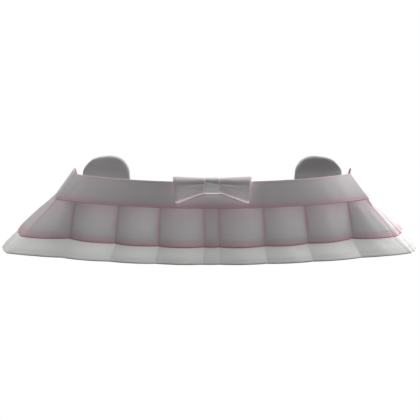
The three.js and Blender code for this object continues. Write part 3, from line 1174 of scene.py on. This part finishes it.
@dataclass
class Bow:
    """The bow on the front of the waistband: two puffed loops and the band round the middle.

    Sizes are in millimetres down and out from the waistband. Pairs are at the knot and at the
    end. A place down a section runs from 0 at its upper edge to 1 at its lower lip.
    """

    lift: float = 0.4
    sideways: float = 1.0
    knot_half: float = 7.2
    knot_height: tuple[float, float] = (-3.3, 17.8)
    knot_depth: float = 8.2
    knot_closing: Closing = Closing(start=0.7, run=0.3, height=0.95, depth=0.85)
    end_top: float = 38.7
    end_bottom: float = 35.0
    end_undercut: float = 3.0
    undercut_below: float = 0.8
    undercut_down: Rise = Rise(0.0, 0.3)
    loop_top: tuple[float, float] = (-3.1, -3.9)
    loop_bottom: tuple[float, float] = (16.2, 28.3)
    loop_depth: tuple[float, float] = (6.2, 8.3)
    loop_closing: Closing = Closing(start=0.88, run=0.12, height=0.93, depth=0.55)
    widest: float = 0.9
    front_lift: Rise = Rise(0.4, 0.62)
    front_down: Rise = Rise(0.1, 0.25)
    shading: LoopShading = LoopShading()
    crease_depth: float = 0.3
    crease_down: tuple[float, float] = (0.36, 0.1)
    crease_width: float = 0.06
    knot_dye: float = 0.7
    knot_tint: float = 0.08
    knot_lip: Peak = Peak(1.0, 0.09)
    # Painted light on the knot: a base lightness, painted lighter along its top and its lower part.
    knot_painted_light: float = 0.97
    knot_light: float = 0.15
    knot_lower: Rise = Rise(0.4, 0.8)
    knot_upper: Peak = Peak(0.08, 0.14)
    loop_cloth: float = 32.0
    knot_cloth: float = 18.5
    back_cloth: float = 40.0
    back_below: float = 0.3
    around: int = 72
    sharp_angle: float = 38.0
    loop_shares: Sequence[float] = (
        *spaced(0.0, 0.88, 26), 0.88, 0.905, 0.93, 0.95, 0.965, 0.978, 0.988, 0.995, 1.0)
    knot_shares: Sequence[float] = (
        -1.0, -0.995, -0.98, -0.95, -0.9, -0.82, *spaced(-0.72, 0.72, 16),
        0.72, 0.82, 0.9, 0.95, 0.98, 0.995, 1.0)
    # Section from the upper edge over the front and the lower lip to the back: (down, lift).
    section: Sequence[tuple[float, float]] = (
        (0.0, 0.3), (0.02, 0.39), (0.05, 0.49), (0.085, 0.585), (0.125, 0.67), (0.17, 0.735),
        (0.22, 0.765), (0.28, 0.765), (0.36, 0.758), (0.46, 0.768), (0.56, 0.788), (0.67, 0.816),
        (0.765, 0.84), (0.82, 0.853), (0.86, 0.868), (0.895, 0.91), (0.928, 0.975), (0.958, 1.04),
        (0.98, 1.05), (0.986, 0.96), (0.955, 0.72), (0.9, 0.45), (0.855, 0.22), (0.81, 0.05),
        (0.7, 0.0), (0.45, 0.0), (0.22, 0.0), (0.12, 0.01), (0.055, 0.06), (0.015, 0.16),
    )
    folds: Sequence[RadiatingFold] = (
        RadiatingFold(at_knot=0.42, at_end=0.34, depth=0.42, reach=0.95),
        RadiatingFold(at_knot=0.56, at_end=0.60, depth=0.26, reach=0.70),
        RadiatingFold(at_knot=0.70, at_end=0.80, depth=0.24, reach=0.50),
        RadiatingFold(at_knot=0.30, at_end=0.26, depth=0.12, reach=0.45),
    )

    def point(self, across: float, down: float, high: float) -> Vector:
        """Return a point of the bow, which sits a little to the right of the middle."""
        return over_band(across + self.sideways, down, self.lift + max(0.0, high))

    def on_front(self, down: float, lift: float) -> float:
        """Return 1 on the front of a section, falling to 0 at its upper edge and on its back."""
        return self.front_lift.at(lift) * self.front_down.at(down)

    def on_cloth(self, along: float, round_it: float, lift: float) -> tuple[float, float]:
        """Return a place on the cloth, with the back of the form beside its front."""
        return along, round_it + self.back_cloth * (lift < self.back_below)

    def loop(self, turn: int) -> bpy.types.Object:
        """Make a loop.

        Args:
            turn: LEFT or RIGHT.

        Returns:
            The finished loop.
        """
        start = self.knot_half + SEAM_GAP
        far_top, far_bottom = self.loop_top[1], self.loop_bottom[1]

        def at(share: float, q: float, lift: float) -> PadPoint:
            """Return the point at a share of the loop's length and a point of its section."""
            top = mix(*self.loop_top, share)
            bottom = mix(*self.loop_bottom, min(1, share / self.widest))
            drawn, drawn_lift = self.loop_closing.squeeze(share, q, lift)
            down = mix(top, bottom, drawn)
            high = mix(*self.loop_depth, math.sqrt(share)) * drawn_lift
            relief = -sum(fold.relief(share, q) for fold in self.folds)
            high += self.on_front(q, lift) * self.loop_closing.size(share) * relief
            end = mix(self.end_top, self.end_bottom, (down - far_top) / (far_bottom - far_top))
            below = max(0.0, self.undercut_below - lift)
            end -= self.end_undercut * below * self.undercut_down.at(q)
            return PadPoint(
                self.point(turn * mix(start, end, share), down, high),
                self.on_cloth(share * self.loop_cloth, q * (bottom - top), lift),
                self.shading.dye(share, q), self.shading.tone(share, q))

        return self.loft(f"bow_loop_{SIDE_NAMES[turn]}", self.loop_shares, at)

    def knot(self) -> bpy.types.Object:
        """Make the band round the middle.

        Returns:
            The finished knot.
        """
        def at(share: float, q: float, lift: float) -> PadPoint:
            """Return the point at a share of the knot's half width and a point of its section."""
            drawn, drawn_lift = self.knot_closing.squeeze(share, q, lift)
            middle, slant = self.crease_down
            crease = self.crease_depth * Peak(middle + slant * share, self.crease_width).at(q)
            high = self.knot_depth * drawn_lift - self.on_front(q, lift) * crease
            # Painted light on the knot's lower part and along its top.
            light = self.knot_light * (self.knot_lower.at(q) + self.knot_upper.at(q))
            across = share * self.knot_half
            return PadPoint(
                self.point(across, mix(*self.knot_height, drawn), high),
                self.on_cloth(across, q * self.knot_cloth, lift),
                self.knot_dye * self.knot_lip.at(q) + self.knot_tint, self.knot_painted_light + light)

        return self.loft("bow_knot", self.knot_shares, at)

    def loft(
        self, node: str, shares: Sequence[float], at: Callable[[float, float, float], PadPoint],
    ) -> bpy.types.Object:
        """Args:
            node: The node that it replaces.
            shares: Where its sections lie.
            at: Gives the point at a share, a place down the section and a lift.

        Returns:
            The finished piece.
        """
        section = curve_through(self.section, self.around)
        section.append(section[0])
        rows = [[at(share, q, lift) for q, lift in section] for share in shares]
        rows = [self.end_cap(rows[0]), *rows, self.end_cap(rows[-1])]
        grid = ClothGrid(
            points=np.array([[tuple(point.place) for point in row] for row in rows]),
            cut=np.array([[point.cut for point in row] for row in rows]),
            blush=np.array([[point.dye for point in row] for row in rows]),
            tone=np.array([[point.tone for point in row] for row in rows]))
        piece = grid.to_object(f"{node}_cloth")
        close_up(piece)
        shade_soft(piece, self.sharp_angle)
        dress(piece, BOW_CLOTH, node, "bow_cloth")
        log.info("%s: %d faces", piece.name, len(piece.data.polygons))
        return piece

    @staticmethod
    def end_cap(row: Sequence[PadPoint]) -> list[PadPoint]:
        """Return a row at the middle of an end section, with the marks of that section."""
        middle = sum((point.place for point in row[:-1]), Vector()) / (len(row) - 1)
        return [replace(point, place=middle) for point in row]


@dataclass
class BackLobe:
    """A round padded lobe, sewn to the outside of the back waistband. Sizes are in millimetres."""

    turn: int
    x: float = 124.0
    z: float = -21.8
    to_the_right: float = 1.4
    half_width: float = 25.8
    half_height: float = 26.6
    squareness: float = 2.4
    depth: float = 11.0
    lift: float = 0.6
    upright_lean: float = 0.14
    bend: float = 14.0
    bend_steps: int = 12
    around: int = 96
    sharp_angle: float = 60.0
    crown: float = 0.9
    free: Rise = Rise(2.0, 12.0)
    seam: Peak = Peak(0.96, 0.09)
    pucker_across: float = 0.6
    pucker_out: float = 0.4
    crown_cloth: float = 60.0
    inner_side_below: float = 0.2
    puckers_above: float = 0.4
    crown_above: float = 0.5
    # The puckers along the seam: how many go round, where the first starts, and how high.
    puckers: Sequence[tuple[int, float, float]] = (
        (7, 0.4, 0.22), (11, 1.9, 0.16), (17, 4.1, 0.10), (23, 2.7, 0.06))
    # From the middle of the inner side round the edge to the middle of the crown.
    profile: Sequence[tuple[float, float]] = (
        (0.0, 0.0), (0.2, 0.0), (0.4, 0.0), (0.58, 0.0), (0.73, 0.0), (0.83, 0.002), (0.895, 0.01),
        (0.937, 0.032), (0.965, 0.08), (0.983, 0.15), (0.994, 0.24), (0.999, 0.33),
        (1.0, 0.44), (0.992, 0.475), (0.986, 0.5), (0.992, 0.525), (1.0, 0.56), (0.993, 0.65),
        (0.975, 0.745), (0.945, 0.82), (0.9, 0.885), (0.84, 0.93), (0.75, 0.96), (0.62, 0.98),
        (0.48, 0.99), (0.32, 0.997), (0.16, 1.0), (0.0, 1.0),
    )

    def place(self, across: float, up: float, lift: float) -> Vector:
        """Return a point of the lobe.

        Args:
            across: Across from the lobe's centre.
            up: Up from its centre.
            lift: Out from the waistband, and out from the upright half.

        Returns:
            The point in millimetres.
        """
        x = self.x + self.turn * self.to_the_right + across
        rim_y = float(RIM.arc(x))
        rim_z = -float(dip_at(rim_y))
        edge = band_point(x, 1, BACK)
        over_rim = self.z + up - rim_z
        flare = (edge.y - rim_y) / (rim_z - edge.z)
        y = rim_y
        if over_rim < 0:
            y -= flare * over_rim
        else:
            heights = over_rim * (np.arange(self.bend_steps) + 0.5) / self.bend_steps
            lean = mix(flare, self.upright_lean, smooth(heights, 0, self.bend))
            y -= float(lean.mean()) * over_rim
        return Vector((self.turn * x, y + lift, self.z + up))

    def pucker(self, angle: float, out: float) -> float:
        """Return the relief of the uneven puckers along the seam, in millimetres."""
        total = sum(size * math.sin(count * angle + start) for count, start, size in self.puckers)
        return total * self.seam.at(out)

    def spot(self, out: float, depth: float, angle: float) -> tuple[float, float, float]:
        """Return how far across, up and out a point of the lobe lies.

        Args:
            out: Its share of the way out to the edge.
            depth: Its share of the lobe's thickness.
            angle: Its angle round the lobe.

        Returns:
            The three distances in millimetres.
        """
        across, up = math.cos(angle), math.sin(angle)
        power = self.squareness
        share = (abs(across) ** power + abs(up) ** power) ** (-1 / power)
        pucker = self.pucker(angle, out)
        share = share * out + pucker * self.pucker_across / self.half_width
        across, up = across * share * self.half_width, up * share * self.half_height
        hollow = 0.0
        if depth < self.inner_side_below:
            hollow = self.crown * self.free.at(up) * (1 - out**2)
        lift = self.lift + self.depth * depth - hollow
        if depth > self.puckers_above:
            lift += abs(pucker) * self.pucker_out
        return across, up, lift

    def build(self) -> bpy.types.Object:
        """Returns:
            The finished lobe.
        """
        steps = [*range(self.around), 0]
        angles = [2 * math.pi * step / self.around for step in steps]
        points, cut = [], []
        for out, depth in self.profile:
            spots = [self.spot(out, depth, angle) for angle in angles]
            points.append([tuple(self.place(*spot)) for spot in spots])
            beside = self.crown_cloth * (depth > self.crown_above)
            cut.append([(across + beside, up) for across, up, _ in spots])
        plain = np.zeros((len(points), len(angles)))
        grid = ClothGrid(points=np.array(points), cut=np.array(cut), blush=plain)
        node = f"back_lobe_{SIDE_NAMES[self.turn]}"
        piece = grid.to_object(f"{node}_cloth")
        close_up(piece)
        shade_soft(piece, self.sharp_angle)
        dress(piece, LOBE_CLOTH, node, "lobe_cloth")
        log.info("%s: %d faces", piece.name, len(piece.data.polygons))
        return piece


class LampKind(Enum):
    """The kinds of lamp in the studio."""

    SOFT_SQUARE = "AREA"
    SPOT = "SPOT"


@dataclass(frozen=True)
class Lamp:
    """A soft lamp that points at the skirt: sizes in metres, power in watts."""

    name: str
    place: Place
    size: float
    power: float
    aim: Place = (0.0, 0.0, -0.04)
    kind: LampKind = LampKind.SOFT_SQUARE
    cone: float = math.radians(20)
    shadow: bool = False
    spot_blend: ClassVar[float] = 0.8

    def hang(self) -> bpy.types.Object:
        """Add the lamp.

        Returns:
            The lamp's object.
        """
        data = bpy.data.lights.new(self.name, self.kind.value)
        data.energy = self.power
        data.use_shadow = self.shadow
        if self.kind is LampKind.SPOT:
            data.shadow_soft_size = self.size / 2
            data.spot_size = self.cone
            data.spot_blend = self.spot_blend
        else:
            data.shape = "SQUARE"
            data.size = self.size
        lamp = bpy.data.objects.new(self.name, data)
        lamp.location = self.place
        towards = Vector(self.aim) - Vector(self.place)
        lamp.rotation_euler = towards.to_track_quat("-Z", "Y").to_euler()
        bpy.context.scene.collection.objects.link(lamp)
        return lamp


@dataclass
class Studio:
    """The camera, the lamps, the pale floor and the white surround."""

    camera_place: Place = (-0.0012, -0.9286, 0.1370)
    camera_pitch: float = math.radians(11.264)
    lens: float = 73.08
    floor_z: float = -0.55
    floor_half: float = 6.0
    floor_grey: float = 0.6
    floor_roughness: float = 0.9
    surround_light: float = 0.0
    lamps: tuple[Lamp, ...] = (
        Lamp("overhead_back", (0.0, 0.75, 1.5), 0.9, 8.4),
        Lamp("overhead", (0.0, 0.1, 1.6), 0.9, 13.6),
        Lamp("fill_left", (-1.05, 0.85, 0.5), 0.6, 4.4, shadow=True),
        Lamp("side_right", (1.1, 0.3, 0.2), 0.4, 2.8, shadow=True),
        Lamp("floor_bounce", (0.0, -0.35, -0.7), 0.9, 0.12),
        Lamp("rim_right", (0.95, 1.15, 0.35), 0.5, 8.0, shadow=True),
        Lamp(
            "spot_right", (1.1, 0.5, 0.12), 0.2, 43.0, aim=(0.19, -0.02, -0.03),
            kind=LampKind.SPOT, cone=math.radians(18), shadow=True),
    )

    def camera(self) -> None:
        """Add the camera at the photograph's angle."""
        data = bpy.data.cameras.new("camera")
        data.sensor_width = 36.0
        data.lens = self.lens
        data.clip_start = 0.01
        camera = bpy.data.objects.new("camera", data)
        camera.location = self.camera_place
        camera.rotation_euler = (math.pi / 2 - self.camera_pitch, 0, 0)
        bpy.context.scene.collection.objects.link(camera)
        bpy.context.scene.camera = camera

    def floor(self) -> None:
        """Add the plain floor, which the camera sees as white."""
        deselect_all()
        bpy.ops.mesh.primitive_plane_add(size=2 * self.floor_half, location=(0, 0, 0))
        floor = bpy.context.active_object
        floor.name = "studio_floor"
        for vertex in floor.data.vertices:
            vertex.co.z = self.floor_z
        bench = NodeBench("floor_white")
        tree = bench.tree
        output = next(n for n in tree.nodes if n.type == "OUTPUT_MATERIAL")
        bench.shader.inputs["Base Color"].default_value = (*[self.floor_grey] * 3, 1)
        bench.shader.inputs["Roughness"].default_value = self.floor_roughness
        glow = bench.add("ShaderNodeEmission", {"Color": (1, 1, 1, 1), "Strength": 1.0})
        seen = bench.add("ShaderNodeLightPath").outputs["Is Camera Ray"]
        both = bench.add("ShaderNodeMixShader", {0: seen, 1: bench.shader, 2: glow})
        tree.links.new(both.outputs[0], output.inputs["Surface"])
        floor.data.materials.append(bench.material)

    def world(self) -> None:
        """Set a surround that is seen as white and leaves the lighting to the lamps."""
        world = bpy.data.worlds.new("surround")
        world.use_nodes = True
        tree = world.node_tree
        light = next(n for n in tree.nodes if n.type == "BACKGROUND")
        light.inputs["Color"].default_value = (1, 1, 1, 1)
        light.inputs["Strength"].default_value = self.surround_light
        white = tree.nodes.new("ShaderNodeBackground")
        white.inputs["Color"].default_value = (1, 1, 1, 1)
        white.inputs["Strength"].default_value = 1.0
        seen = tree.nodes.new("ShaderNodeLightPath")
        both = tree.nodes.new("ShaderNodeMixShader")
        output = next(n for n in tree.nodes if n.type == "OUTPUT_WORLD")
        tree.links.new(seen.outputs["Is Camera Ray"], both.inputs[0])
        tree.links.new(light.outputs[0], both.inputs[1])
        tree.links.new(white.outputs[0], both.inputs[2])
        tree.links.new(both.outputs[0], output.inputs["Surface"])
        bpy.context.scene.world = world

    def build(self) -> None:
        """Set up the whole studio."""
        self.camera()
        self.floor()
        self.world()
        for lamp in self.lamps:
            lamp.hang()
        bpy.context.scene.view_settings.view_transform = "Standard"
        bpy.context.scene.view_settings.look = "None"


def main() -> None:
    """Build the studio and dress the skirt piece by piece."""
    logging.basicConfig(level=logging.INFO, format="%(name)s: %(message)s")
    Studio().build()
    for face, half in HALF_NAMES.items():
        Waistband(
            f"waistband_{half}", face, BAND_CLOTH, "band_cloth", "hung",
            creases=BAND_CREASES).build()
        UpperRuffle(
            f"ruffle_upper_{half}", face, RUFFLE_CLOTH, "ruffle_cloth", "gathered",
            creases=UPPER_CREASES).build()
        LowerRuffle(
            f"ruffle_lower_{half}", face, UNDER_CLOTH, "underskirt_cloth", "gathered",
            creases=LOWER_CREASES).build()
    bow = Bow()
    for turn in (LEFT, RIGHT):
        bow.loop(turn)
        BackLobe(turn).build()
    bow.knot()


if __name__ == "__main__":
    main()
